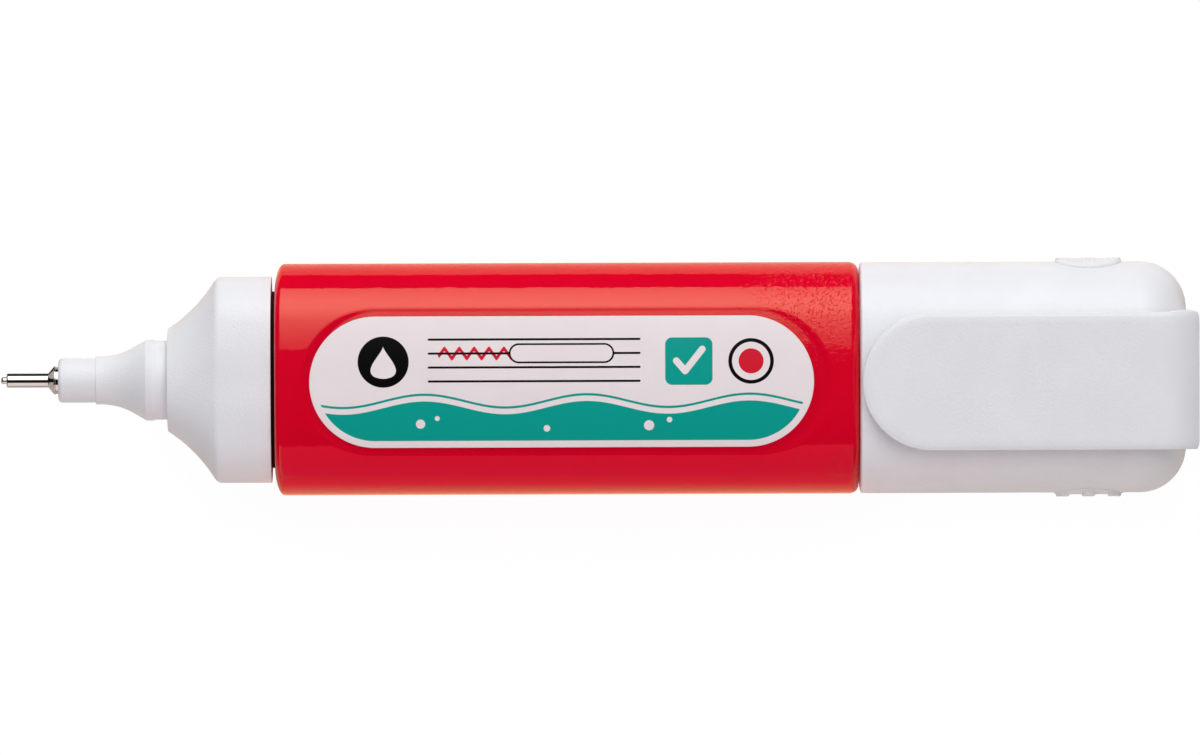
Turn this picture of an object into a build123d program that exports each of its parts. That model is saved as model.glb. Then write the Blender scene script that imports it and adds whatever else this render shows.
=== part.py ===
from build123d import *
import math
import os

# A squeeze correction pen that lies on its back, label up, with its cap posted on the rear.
# Millimetres. The pen's axis runs along X with the tip towards -X. While it is modelled, the
# axis is the X axis and the front face of the bottle is at x = 0. The last lines move all pieces
# to the pen's frame, whose origin is under the middle of the pen on the surface it lies on.

# Oval section shared by the bottle, the shoulder and the cap
bottle_width = 25.0
bottle_thickness = 16.4
flat_width = 3.0            # true flat along the middle of the front and the back
face_radius = 20.0          # crown of the front and the back beside that flat

# Bottle
bottle_length = 63.0
bottle_wall = 1.1
bottle_end_wall = 1.3
bottle_front_rounding = 0.8
bottle_rear_rounding = 0.9
seat_width = 19.1           # raised oval on the front face that the shoulder sits on
seat_height = 0.42
neck_length = 6.0
neck_wall = 1.0
bead_height = 0.25          # snap bead round the neck
bead_width = 0.8
post_length = 6.5           # oval post at the rear that the cap is pushed onto
post_rounding = 0.6

# Label and its panel
label_side_margin = 5.42    # from the bottle's side to the label's long edge
label_end_margin = 4.33     # from the bottle's end to the label's end
label_thickness = 0.1
label_shift = 0.55          # towards the tip, from the middle of its panel
panel_margin = 0.5          # bare strip of the panel round the label
panel_edge_depth = 0.12     # depth of the panel along its long edges
panel_radius = 45.0         # crown of the panel's floor

# Mixing ball
ball_diameter = 5.0
ball_rest_gap = 1.0         # from the bottle's rear wall

# Shoulder
shoulder_straight = 5.91
shoulder_flare = 5.32
shoulder_face_diameter = 11.1
flare_radius = 16.5         # hollow curve of the flare, seen from the front
flare_steps = 5             # stretches of the flare's loft
shoulder_wall = 1.3
pocket_depth = 4.4
gasket_thickness = 0.6

# Nozzle
nozzle_collar_length = 2.35
nozzle_collar_diameter = 8.7
nozzle_front_diameter = 5.2
nozzle_length = 7.8
nozzle_slope = 30.0         # degrees, of the cone in front of the collar
nozzle_lead = 0.5           # straight stretch at its front end
nozzle_collar_rounding = 0.35
nozzle_shank_diameter = 6.2
nozzle_lip_height = 0.2     # lip that snaps in behind the shoulder's inner step
nozzle_lip_length = 0.5
flow_diameter = 3.2

# Tip holder
holder_diameter = 4.8
holder_length = 4.05
holder_rounding = 0.45
holder_shank_diameter = 4.0
holder_shank_length = 6.6
tip_socket_depth = 2.9
chamber_diameter = 2.8      # spring chamber

# Metal tip
tube_diameter = 1.52
tube_length = 4.52
tube_wall = 0.24
tube_lip = 0.35             # front wall that the pin closes
cone_length = 0.7
cone_diameter = 3.3
band_length = 0.4
band_diameter = 2.9
tip_shank_diameter = 2.5

# Valve
pin_diameter = 0.72
pin_reach = 0.6             # how far the pin stands out of the tube
pin_head_diameter = 0.94    # head that closes the front wall from inside
pin_head_length = 0.25
rod_diameter = 0.8
pin_collar_diameter = 2.3
pin_collar_length = 0.4
pin_collar_gap = 0.25       # from the metal tip's rear end
pin_tail = 0.3              # how far the rod passes the retainer
retainer_length = 1.6
retainer_holes = 3
retainer_hole_diameter = 0.5
spring_wire = 0.25
spring_diameter = 1.8       # over the wire's centre line
spring_turns = 6

# Cap
cap_length = 35.35
cap_wall = 1.1
cap_end_wall = 1.5
cap_end_rounding = 5.0
cap_mouth_rounding = 0.4
cap_gap = 0.1               # from the bottle's rear face to the cap's mouth
grip_length = 7.1
grip_height = 5.6
grip_from_end = 10.55       # from the cap's end to the middle of the grip
grip_pad_height = 0.1
grip_bar_height = 0.43
grip_bars = 3
grip_bar_width = 1.45
inner_cap_wall = 0.9
inner_cap_floor = 1.0
inner_cap_overlap = 2.5     # length of the tip holder that it covers when the pen is closed
ring_wall = 0.8             # ring inside the cap that holds the inner cap
ring_height = 3.0
ring_floor = 0.3

# Pocket clip
clip_width = 14.8
clip_thickness = 1.5
clip_gap = 0.7              # between the cap and the blade
clip_arm = 1.8
clip_overhang = 1.1         # past the cap's end
clip_set_back = 0.25        # its free end behind the cap's mouth
clip_rounding = 0.5
clip_bend = 2.2             # outer radius where the blade turns down into the arm
clip_hinge_depth = 1.2      # hinge line below the cap's top
clip_root_height = 4.6      # root block below the hinge line
clip_root_shelf = 1.1       # root block beside the hinge groove
nib_radius = 0.8
nib_length = 5.0
nib_from_end = 4.5
nib_gap = 0.15

# Clearances
press_clearance = 0.02      # fixed pieces
slide_clearance = 0.08      # pieces that slide on each other, also the cap on its post
cap_clearance = 0.25        # cap over the shoulder
hinge_clearance = 0.05
pin_clearance = 0.04        # pin in its holes
valve_gap = 0.03            # pin's head to the front wall, and spring to its seats
seat_clearance = 0.01       # label on its panel

# Section of the oval: flat, crown and side on each quarter
half_width = bottle_width / 2
half_thickness = bottle_thickness / 2
half_flat = flat_width / 2
crown_reach = half_width - half_flat
side_radius = (2 * face_radius * half_thickness - crown_reach**2 - half_thickness**2) / (
    2 * (face_radius - crown_reach)
)
side_center = half_width - side_radius
crown_turn = math.asin((side_center - half_flat) / (face_radius - side_radius))

# Places along the axis, from the bottle's front face towards the tip
seat_x = -seat_height
neck_x = seat_x - neck_length
step_x = neck_x - gasket_thickness
flare_x = seat_x - shoulder_straight
shoulder_x = flare_x - shoulder_flare
nozzle_x = shoulder_x - nozzle_length
holder_x = nozzle_x - holder_length
band_x = holder_x - band_length
cone_x = band_x - cone_length
tube_x = cone_x - tube_length
pin_x = tube_x - pin_reach
holder_back_x = nozzle_x + holder_shank_length
tip_back_x = holder_x + tip_socket_depth
collar_x = tip_back_x + pin_collar_gap
spring_x = collar_x + pin_collar_length
retainer_x = holder_back_x - retainer_length
rod_back_x = holder_back_x + pin_tail

# Places towards the cap
mouth_x = bottle_length + cap_gap
cap_end_x = mouth_x + cap_length
cap_inside_x = cap_end_x - cap_end_wall
clip_free_x = mouth_x + clip_set_back
clip_back_x = cap_end_x + clip_overhang
hinge_x = clip_back_x - clip_arm / 2
hinge_z = half_thickness - clip_hinge_depth
blade_z = half_thickness + clip_gap

# Fits
post_inset = cap_wall + slide_clearance
shoulder_inset = cap_wall + cap_clearance
seat_inset = (bottle_width - seat_width) / 2
socket_radius = half_thickness - shoulder_inset - shoulder_wall - bead_height
neck_radius = socket_radius - press_clearance
shank_bore_radius = nozzle_shank_diameter / 2 + press_clearance
holder_radius = holder_diameter / 2

# Label and its panel, whose long edges lie on the oval's rounded sides
label_width = bottle_width - 2 * label_side_margin
label_length = bottle_length - 2 * label_end_margin
panel_width = label_width + 2 * panel_margin
panel_crown = panel_radius - math.sqrt(panel_radius**2 - (panel_width / 2) ** 2)
panel_edge_z = math.sqrt(side_radius**2 - (panel_width / 2 - side_center) ** 2) - panel_edge_depth
panel_z = panel_edge_z + panel_crown

# Inner cap, long enough to reach over the tip holder when the pen is closed
inner_cap_radius = holder_radius + slide_clearance
inner_cap_outside = inner_cap_radius + inner_cap_wall
inner_cap_back_x = cap_inside_x - ring_floor
tip_depth = -holder_x - cap_gap
inner_cap_length = cap_length - cap_end_wall - ring_floor - tip_depth + inner_cap_overlap

to_pen_frame = Location((-(pin_x + clip_back_x) / 2, 0, half_thickness))


# The eight edges of the oval, each as start, middle and end in (Y, Z), clockwise from the top flat's end
def oval_edges(inset):
    top = half_thickness - inset
    crown = face_radius - inset
    crown_z = half_thickness - face_radius

    def on_crown(turn):
        return (half_flat + crown * math.sin(turn), crown_z + crown * math.cos(turn))

    joint = on_crown(crown_turn)
    crown_edge = ((half_flat, top), on_crown(crown_turn / 2), joint)
    side_edge = (joint, (half_width - inset, 0), (joint[0], -joint[1]))
    crown_below = tuple((y, -z) for y, z in reversed(crown_edge))
    flat_below = ((half_flat, -top), (0, -top), (-half_flat, -top))
    half = [crown_edge, side_edge, crown_below, flat_below]
    return half + [tuple((-y, -z) for y, z in edge) for edge in half]


# The same eight edges on a circle, each with the share of the round that it has on the oval
def circle_edges(radius, inset):
    crown = (face_radius - inset) * crown_turn
    side = (side_radius - inset) * (math.pi / 2 - crown_turn)
    unit = math.pi / 2 / (half_flat + crown + side)
    flat_end = half_flat * unit
    joint = (half_flat + crown) * unit
    marks = [flat_end, joint, math.pi - joint, math.pi - flat_end, math.pi + flat_end]

    def on_circle(turn):
        return (radius * math.sin(turn), radius * math.cos(turn))

    half = []
    for start, end in zip(marks, marks[1:]):
        half.append(tuple(on_circle(turn) for turn in (start, (start + end) / 2, end)))
    return half + [tuple((-y, -z) for y, z in edge) for edge in half]


def outline_face(edges, x):
    def curve(start, middle, end):
        turn = (middle[0] - start[0]) * (end[1] - start[1]) - (middle[1] - start[1]) * (end[0] - start[0])
        straight = math.isclose(turn, 0, abs_tol=math.dist(start, end) / 1e6)
        return Line(start, end) if straight else ThreePointArc(start, middle, end)

    return Plane.YZ.offset(x) * make_face([curve(*edge) for edge in edges])


def oval_block(inset, start_x, end_x):
    return extrude(outline_face(oval_edges(inset), start_x), end_x - start_x)


def turned(*points):
    return revolve(make_face(Polyline(*points, close=True)), Axis.X)


def rod(radius, start_x, end_x):
    return turned((start_x, 0), (start_x, radius), (end_x, radius), (end_x, 0))


def front_end(shape):
    return shape.faces().sort_by(Axis.X)[0].outer_wire().edges()


def rear_end(shape):
    return shape.faces().sort_by(Axis.X)[-1].outer_wire().edges()


def stadium(width, margin, z):
    length = label_length + 2 * margin
    return Pos(bottle_length / 2, 0, z) * SlotOverall(length, width)


# Round bar along X whose top is the panel's crowned floor, raised by a step
def panel_bar(step):
    bar = Cylinder(panel_radius + step, bottle_length, rotation=(0, 90, 0))
    return Pos(bottle_length / 2, 0, panel_z - panel_radius) * bar


# Sloping walls at 45 degrees: the panel widens by as much as it rises
def label_panel():
    rise = bottle_thickness - panel_edge_z
    low = stadium(panel_width, panel_margin, panel_edge_z)
    high = stadium(panel_width + 2 * rise, panel_margin + rise, panel_edge_z + rise)
    return loft([low, high], ruled=True) - panel_bar(0)


def neck_bead(radius, width):
    middle = (seat_x + neck_x) / 2
    return turned(
        (middle - width / 2 - bead_height, 0),
        (middle - width / 2 - bead_height, radius),
        (middle - width / 2, radius + bead_height),
        (middle + width / 2, radius + bead_height),
        (middle + width / 2 + bead_height, radius),
        (middle + width / 2 + bead_height, 0),
    )


def make_bottle():
    body = oval_block(0, 0, bottle_length)
    body = fillet(front_end(body), bottle_front_rounding)
    body = fillet(rear_end(body), bottle_rear_rounding)
    post = oval_block(post_inset, bottle_length - bottle_end_wall, bottle_length + post_length)
    post = fillet(rear_end(post), post_rounding)
    seat = oval_block(seat_inset, seat_x, bottle_end_wall)
    neck = rod(neck_radius, neck_x, 0) + neck_bead(neck_radius, bead_width)
    hollow = oval_block(bottle_wall, bottle_end_wall, bottle_length - bottle_end_wall)
    post_end_x = bottle_length + post_length - bottle_end_wall
    post_hollow = oval_block(post_inset + bottle_wall, bottle_length - 2 * bottle_end_wall, post_end_x)
    throat = rod(neck_radius - neck_wall, neck_x, 2 * bottle_end_wall)
    return body + post + seat + neck - hollow - post_hollow - throat - label_panel()


def make_label():
    sheet = panel_bar(seat_clearance + label_thickness) - panel_bar(seat_clearance)
    return extrude(Pos(-label_shift, 0, 0) * stadium(label_width, 0, 0), bottle_thickness) & sheet


def make_ball():
    radius = ball_diameter / 2
    x = bottle_length - bottle_end_wall - ball_rest_gap - radius
    z = -(half_thickness - bottle_wall - slide_clearance - radius)
    return Pos(x, 0, z) * Sphere(radius)


# Half widths of the flare, from the straight part to the front face, on one hollow arc
def flare_sections():
    wide = Vector(flare_x, half_width - shoulder_inset)
    narrow = Vector(shoulder_x, shoulder_face_diameter / 2)
    hollow = RadiusArc(wide, narrow, flare_radius)
    for step in range(flare_steps + 1):
        point = hollow @ (step / flare_steps)
        yield point.X, (point.Y - narrow.Y) / (wide.Y - narrow.Y)


def make_shoulder():
    oval = oval_edges(shoulder_inset)
    circle = circle_edges(shoulder_face_diameter / 2, shoulder_inset)

    def mixed(share, on_oval, on_circle):
        return tuple(share * a + (1 - share) * b for a, b in zip(on_oval, on_circle))

    def blended(share):
        return [tuple(mixed(share, *pair) for pair in zip(*edges)) for edges in zip(oval, circle)]

    sections = [outline_face(blended(share), x) for x, share in flare_sections()]
    body = oval_block(shoulder_inset, flare_x, seat_x) + loft(sections)
    tower = rod(socket_radius + bead_height + shoulder_wall, seat_x - pocket_depth, seat_x)
    pockets = oval_block(shoulder_inset + shoulder_wall, seat_x - pocket_depth, seat_x) - tower
    socket = rod(socket_radius, step_x, seat_x) + neck_bead(socket_radius, bead_width)
    return body - pockets - socket - rod(shank_bore_radius, shoulder_x, step_x)


def make_gasket():
    return rod(neck_radius, step_x, neck_x) - rod(neck_radius - neck_wall, step_x, neck_x)


# Outer profile of the nozzle: a throat that turns into a cone, then the collar and the hidden shank
def make_nozzle():
    front = nozzle_front_diameter / 2
    collar = nozzle_collar_diameter / 2
    slope = math.radians(nozzle_slope)
    rim_x = shoulder_x - nozzle_collar_length
    throat_x = nozzle_x + nozzle_lead
    throat_radius = (rim_x - throat_x - (collar - front) / math.tan(slope)) / math.tan(slope / 2)
    throat_start = (throat_x, front)
    throat_end = (
        throat_x + throat_radius * math.sin(slope),
        front + throat_radius * (1 - math.cos(slope)),
    )
    shank = nozzle_shank_diameter / 2
    lip_x = step_x + press_clearance
    outline = [
        Line((nozzle_x, 0), (nozzle_x, front)),
        Line((nozzle_x, front), throat_start),
        TangentArc(throat_start, throat_end, tangent=(1, 0)),
        Line(throat_end, (rim_x, collar)),
        Line((rim_x, collar), (shoulder_x, collar)),
        Polyline(
            (shoulder_x, collar),
            (shoulder_x, shank),
            (lip_x, shank),
            (lip_x, shank + nozzle_lip_height),
            (lip_x + nozzle_lip_length, shank),
            (lip_x + nozzle_lip_length, 0),
            (nozzle_x, 0),
        ),
    ]
    body = revolve(make_face(outline), Axis.X)
    edge = body.edges().filter_by(GeomType.CIRCLE).filter_by(
        lambda e: math.isclose(e.radius, collar) and math.isclose(e.arc_center.X, rim_x)
    )
    body = fillet(edge, nozzle_collar_rounding)
    socket = rod(holder_shank_diameter / 2 + press_clearance, nozzle_x, holder_back_x + pin_tail)
    return body - socket - rod(flow_diameter / 2, nozzle_x, lip_x + nozzle_lip_length)


def make_holder():
    head = rod(holder_radius, holder_x, nozzle_x)
    head = fillet(front_end(head), holder_rounding)
    body = head + rod(holder_shank_diameter / 2, nozzle_x, holder_back_x)
    socket = rod(tip_shank_diameter / 2 + press_clearance, holder_x, tip_back_x)
    return body - socket - rod(chamber_diameter / 2, tip_back_x, holder_back_x)


def make_metal_tip():
    tube = tube_diameter / 2
    body = turned(
        (tube_x, 0),
        (tube_x, tube),
        (cone_x, tube),
        (band_x, cone_diameter / 2),
        (band_x, band_diameter / 2),
        (holder_x, band_diameter / 2),
        (holder_x, tip_shank_diameter / 2),
        (tip_back_x, tip_shank_diameter / 2),
        (tip_back_x, 0),
    )
    bore = rod(tube - tube_wall, tube_x + tube_lip, tip_back_x)
    return body - bore - rod(pin_diameter / 2 + pin_clearance, tube_x, tip_back_x)


def make_pin():
    pin = pin_diameter / 2
    head_x = tube_x + tube_lip + valve_gap
    body = turned(
        (pin_x, 0),
        (pin_x, pin),
        (head_x, pin),
        (head_x, pin_head_diameter / 2),
        (head_x + pin_head_length, pin_head_diameter / 2),
        (head_x + pin_head_length, rod_diameter / 2),
        (collar_x, rod_diameter / 2),
        (collar_x, pin_collar_diameter / 2),
        (spring_x, pin_collar_diameter / 2),
        (spring_x, rod_diameter / 2),
        (rod_back_x, rod_diameter / 2),
        (rod_back_x, 0),
    )
    return fillet(front_end(body), pin / 2)


# Two arcs that leave one point along one way and reach another along a second way
def two_arcs(start, start_way, end, end_way):
    chord = end - start
    both = start_way + end_way
    spread = 2 * (1 - start_way.dot(end_way))
    reach = (math.sqrt(chord.dot(both) ** 2 + spread * chord.dot(chord)) - chord.dot(both)) / spread
    joint = (start + end + (start_way - end_way) * reach) * 0.5
    joint_way = (chord - both * reach).normalized()
    return [TangentArc(start, joint, tangent=start_way), TangentArc(joint, end, tangent=joint_way)]


def make_spring():
    radius = spring_diameter / 2
    first_x = spring_x + spring_wire / 2 + valve_gap
    last_x = retainer_x - spring_wire / 2 - valve_gap
    quarters = 4 * spring_turns
    step_turn = math.pi / 2
    advance = (last_x - first_x) / quarters / step_turn

    def place(quarter):
        turn = quarter * step_turn
        return Vector(first_x + advance * turn, radius * math.cos(turn), radius * math.sin(turn))

    def way(quarter):
        turn = quarter * step_turn
        return Vector(advance, -radius * math.sin(turn), radius * math.cos(turn)).normalized()

    arcs = []
    for quarter in range(quarters):
        arcs += two_arcs(place(quarter), way(quarter), place(quarter + 1), way(quarter + 1))
    section = Plane(origin=place(0), z_dir=way(0)) * Circle(spring_wire / 2)
    return sweep(section, path=Wire(arcs))


def make_retainer():
    body = rod(chamber_diameter / 2 - press_clearance, retainer_x, holder_back_x)
    guide = rod_diameter / 2 + pin_clearance
    ring = (guide + chamber_diameter / 2) / 2
    hole = rod(retainer_hole_diameter / 2, retainer_x, holder_back_x)
    body -= rod(guide, retainer_x, holder_back_x)
    for turn in range(retainer_holes):
        body -= Rot(360 * turn / retainer_holes, 0, 0) * Pos(0, ring, 0) * hole
    return body


# Three bars on a thin lens-shaped pad, on both narrow sides of the cap
def cap_grips():
    middle = cap_end_x - grip_from_end
    lens = Plane.XZ * Pos(middle, 0) * Ellipse(grip_length / 2, grip_height / 2)
    lens = extrude(lens, bottle_width, both=True)
    start, end = middle - grip_length / 2, middle + grip_length / 2
    grips = lens & oval_block(-grip_pad_height, start, end)
    pitch = (grip_length - grip_bar_width) / (grip_bars - 1)
    for bar in range(grip_bars):
        bar_x = start + bar * pitch
        grips += lens & oval_block(-grip_bar_height, bar_x, bar_x + grip_bar_width)
    return grips


def hinge_bar(radius, length):
    return Pos(hinge_x, 0, hinge_z) * Cylinder(radius, length, rotation=(90, 0, 0))


# Room in the cap's rounded end for the clip's arm and its round foot
def clip_slot():
    groove = clip_arm / 2 + hinge_clearance
    width = clip_width + 2 * hinge_clearance
    size_z = half_thickness - hinge_z
    slot = Pos(hinge_x, 0, hinge_z + size_z / 2) * Box(2 * groove, width, size_z)
    return slot + hinge_bar(groove, width)


# Block at the cap's end that the clip stands on
def clip_root():
    front_x = hinge_x - clip_arm / 2 - clip_root_shelf
    size_x = clip_back_x - front_x
    block = Box(size_x, clip_width, clip_root_height)
    return Pos(front_x + size_x / 2, 0, hinge_z - clip_root_height / 2) * block


def make_cap():
    body = oval_block(0, mouth_x, cap_end_x)
    body = fillet(rear_end(body), cap_end_rounding)
    body = fillet(front_end(body), cap_mouth_rounding)
    hollow = oval_block(cap_wall, mouth_x, cap_inside_x)
    hollow = fillet(rear_end(hollow), cap_end_rounding - cap_wall)
    ring = inner_cap_outside + press_clearance
    holder = rod(ring + ring_wall, inner_cap_back_x - ring_height, cap_inside_x)
    holder -= rod(ring, inner_cap_back_x - ring_height, inner_cap_back_x)
    return body + cap_grips() + clip_root() - hollow - clip_slot() + holder


def make_inner_cap():
    front_x = inner_cap_back_x - inner_cap_length
    body = rod(inner_cap_outside, front_x, inner_cap_back_x)
    return body - rod(inner_cap_radius, front_x, inner_cap_back_x - inner_cap_floor)


def make_clip():
    half = clip_width / 2
    round_x = clip_free_x + half
    blade = make_face(
        [
            ThreePointArc((round_x, half), (clip_free_x, 0), (round_x, -half)),
            Polyline((round_x, -half), (clip_back_x, -half), (clip_back_x, half), (round_x, half)),
        ]
    )
    blade = Pos(0, 0, blade_z) * extrude(blade, clip_thickness)
    arm_height = blade_z + clip_thickness - hinge_z
    arm = Pos(hinge_x, 0, hinge_z + arm_height / 2) * Box(clip_arm, clip_width, arm_height)
    body = blade + arm
    bend = body.edges().filter_by(Axis.Y).group_by(Axis.Z)[-1]
    body = fillet(bend, clip_bend)
    top = body.faces().sort_by(Axis.Z)[-1].outer_wire().edges()
    rim = top - top.filter_by(Axis.Y)
    rim += body.edges().filter_by(GeomType.CIRCLE).filter_by(lambda e: math.isclose(e.radius, clip_bend))
    rim += body.edges().filter_by(Axis.Z).group_by(Axis.X)[-1]
    body = fillet(rim, clip_rounding)
    nib_z = half_thickness + nib_gap + nib_radius
    nib = Pos(clip_free_x + nib_from_end, 0, nib_z) * Cylinder(nib_radius, nib_length, rotation=(90, 0, 0))
    foot = hinge_bar(clip_arm / 2, clip_width - 2 * clip_rounding)
    return body + nib + foot


pieces = {
    "bottle": make_bottle,
    "front_label": make_label,
    "mixing_ball": make_ball,
    "shoulder": make_shoulder,
    "neck_gasket": make_gasket,
    "nozzle": make_nozzle,
    "tip_holder": make_holder,
    "metal_tip": make_metal_tip,
    "valve_pin": make_pin,
    "valve_spring": make_spring,
    "spring_retainer": make_retainer,
    "cap_shell": make_cap,
    "inner_cap": make_inner_cap,
    "pocket_clip": make_clip,
}

os.makedirs("parts", exist_ok=True)
for name, make_piece in pieces.items():
    export_step(to_pen_frame * make_piece(), f"parts/{name}.step")
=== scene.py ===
import math
import bmesh
import bpy
import numpy as np
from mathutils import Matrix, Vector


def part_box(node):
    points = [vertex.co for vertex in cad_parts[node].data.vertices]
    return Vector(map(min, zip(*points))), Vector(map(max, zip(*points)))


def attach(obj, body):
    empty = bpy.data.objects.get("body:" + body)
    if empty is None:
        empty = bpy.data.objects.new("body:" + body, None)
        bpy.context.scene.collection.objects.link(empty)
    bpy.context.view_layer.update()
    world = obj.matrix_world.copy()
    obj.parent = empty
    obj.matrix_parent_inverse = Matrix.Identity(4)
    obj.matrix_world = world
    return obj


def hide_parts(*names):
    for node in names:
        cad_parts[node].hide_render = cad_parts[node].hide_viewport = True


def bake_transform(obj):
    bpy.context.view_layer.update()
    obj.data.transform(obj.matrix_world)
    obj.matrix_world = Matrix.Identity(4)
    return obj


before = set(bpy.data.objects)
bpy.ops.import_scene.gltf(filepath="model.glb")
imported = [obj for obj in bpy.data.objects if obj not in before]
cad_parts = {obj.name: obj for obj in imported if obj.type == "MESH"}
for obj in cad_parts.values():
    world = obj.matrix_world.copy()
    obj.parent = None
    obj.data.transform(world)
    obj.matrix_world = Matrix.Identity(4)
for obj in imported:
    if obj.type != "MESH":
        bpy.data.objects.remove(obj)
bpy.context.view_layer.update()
scene = bpy.context.scene

# Pieces are worked out in millimetres from the bottle's front face and the pen's axis
mm = 0.001
neckReach = 6.42              # the bottle's neck in front of that face, hidden in the shoulder
bottleLow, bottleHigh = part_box("bottle")
frontX = bottleLow.x + neckReach * mm
axisZ = (bottleLow.z + bottleHigh.z) / 2
print("frame loaded, bottle front at", round(frontX, 5))


def toRow(x, y, z):  # millimetres on the pen to metres in the row frame
    x, y, z = np.broadcast_arrays(x, y, z)
    return np.stack([x * mm + frontX, y * mm, z * mm + axisZ], -1)


def colour(hexText):  # sRGB hex to linear
    srgb = np.array([int(hexText[i:i + 2], 16) for i in (1, 3, 5)]) / 255
    linear = np.where(srgb <= 0.04045, srgb / 12.92, ((srgb + 0.055) / 1.055) ** 2.4)
    return (*linear.tolist(), 1.0)


# A node with its settings: an input takes a value or a link, anything else is a property
def addNode(tree, kind, inputs=None, **properties):
    node = tree.nodes.new(kind)
    for key, value in properties.items():
        setattr(node, key, value)
    for key, value in (inputs or {}).items():
        if isinstance(value, bpy.types.NodeSocket):
            tree.links.new(value, node.inputs[key])
        else:
            node.inputs[key].default_value = value
    return node


def newMaterial(name):
    made = bpy.data.materials.new(name)
    made.use_nodes = True
    made.node_tree.nodes.clear()
    return made, made.node_tree


def finishMaterial(tree, shader):
    addNode(tree, "ShaderNodeOutputMaterial", {"Surface": shader.outputs[0]})


# Camera: above the pen and a little to its upper side, as the photograph was taken
cameraPlace = {
    "distance": 1500.0,         # from the pen's middle plane
    "tilt": 2.5,                # degrees towards +Y
    "frameWidth": 129.84,       # what the picture's width shows in that plane
    "centre": (35.31, 0.12),    # pen x and y in the middle of the picture
    "roll": 0.2,                # degrees, the tip a little lower in the picture
    "sensor": 36.0,
    "clip": (0.01, 20.0),       # metres, nearest and farthest that shows
}


def makeCamera(place):
    lens = bpy.data.cameras.new("photoCamera")
    lens.sensor_fit = "HORIZONTAL"
    lens.sensor_width = place["sensor"]
    lens.lens = place["sensor"] * place["distance"] / place["frameWidth"]
    lens.clip_start, lens.clip_end = place["clip"]
    made = bpy.data.objects.new("photoCamera", lens)
    scene.collection.objects.link(made)
    tilt = math.radians(place["tilt"])
    x, y = place["centre"]
    far = place["distance"]
    made.location = toRow(x, y + far * math.sin(tilt), far * math.cos(tilt))
    made.rotation_euler = (-tilt, 0, -math.radians(place["roll"]))
    scene.camera = made


makeCamera(cameraPlace)
print("camera set")

# Studio, in metres: one large softbox over the upper side, and fill over the lower side and from above that
# mirrors don't show. Cards that only mirrors show: black on the upper side, dark grey beside the tube, pale
# over the lower side and whiter before the tip, and a red one that lies before the lower side
studio = {
    "key": {"turn": 47.7, "distance": 0.45, "size": (0.27, 0.696), "radiance": 4.2, "colour": "#ffffff",
            "edges": (0.22, 0.55), "peak": 0.57, "mirrored": True},
    "fill": {"turn": -63.5, "distance": 0.45, "size": (0.60, 0.49), "radiance": 0.97, "colour": "#fff2f0",
             "edges": (0.9, 1.0), "peak": 0.6, "mirrored": False},
    "over": {"turn": 9.0, "distance": 0.70, "size": (1.30, 0.50), "radiance": 0.92, "colour": "#ffffff",
             "edges": (1.0, 1.0), "peak": 0.5, "mirrored": False},
    "black": {"near": 0.035, "away": 0.078, "high": 0.02, "half": 0.3},     # rises from y near to y away
    "tip": {"place": (-0.068, -0.0594, 0.0006, 0.035), "radiance": 0.06},   # x from, x to, y from, y to
    "red": {"place": (-0.0365, 0.029, -0.51, -0.012), "radiance": 2.1, "far": "#ff6172", "near": "#cb9070",
            "fade": (-0.042, -0.022)},      # paler towards the pen, between these y
    "pale": {"turn": -63.5, "distance": 0.45, "height": 0.49,
             "spans": ((-0.30, -0.062, 1.12, "#fffaf9"),    # from x, to x, radiance and colour
                       (-0.062, -0.050, 0.8, "#ff9c88"),
                       (-0.050, 0.036, 2.1, "#ff5087"),
                       (0.036, 0.30, 0.5, "#ffe6e2"))},
    "world": 0.10,              # light from the room
    "worldMirrored": 0.012,     # how much of it mirrors show
    "floorPlace": (-1.6, 1.6, -1.6, 1.6),
    "floorLow": -0.00005,       # just under the pen
    "floorShine": 0.955,        # share of white that the floor shows by itself
    "floorShade": 0.07,         # share that takes light and shadow
    "floorBounce": "#ece9e6",
    "floorMirrored": ("#bdafac", "#e2ba8c"),    # painted reflection: in mirrors the floor is grey by the tip and tinted warm along the bottle, as if lit by red light bounced from it
    "floorWarmFrom": (-0.058, -0.052),          # x where the one becomes the other
    "floorGlow": 0.18,          # light that comes through the sweep from below
}


# Brightness along a lamp's height: from one edge up to a peak and down to the other edge
def addGlow(lamp, settings):
    lamp.use_nodes = True
    tree = lamp.node_tree
    tree.nodes.clear()
    spot = addNode(tree, "ShaderNodeNewGeometry").outputs["Parametric"]
    apart = addNode(tree, "ShaderNodeSeparateXYZ", {0: spot})
    ramp = addNode(tree, "ShaderNodeValToRGB", {0: apart.outputs["Y"]})
    low, high = settings["edges"]
    steps = ramp.color_ramp
    steps.interpolation = "EASE"
    steps.elements[0].color = (low, low, low, 1)
    steps.elements[1].color = (high, high, high, 1)
    steps.elements.new(settings["peak"]).color = (1, 1, 1, 1)
    glow = addNode(tree, "ShaderNodeEmission", {"Color": ramp.outputs[0], "Strength": 1.0})
    addNode(tree, "ShaderNodeOutputLight", {"Surface": glow.outputs[0]})


# A flat light at a turn from straight up towards +Y, facing the pen
def makeLight(name, settings):
    width, height = settings["size"]
    lamp = bpy.data.lights.new(name, "AREA")
    lamp.shape = "RECTANGLE"
    lamp.size = width
    lamp.size_y = height
    lamp.energy = settings["radiance"] * math.pi * width * height
    lamp.color = colour(settings["colour"])[:3]
    addGlow(lamp, settings)
    made = bpy.data.objects.new(name, lamp)
    scene.collection.objects.link(made)
    turn = math.radians(settings["turn"])
    away = settings["distance"]
    made.location = (0, away * math.sin(turn), away * math.cos(turn) + axisZ)
    made.rotation_euler = (-turn, 0, 0)
    made.visible_glossy = settings["mirrored"]
    made.visible_camera = False


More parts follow.
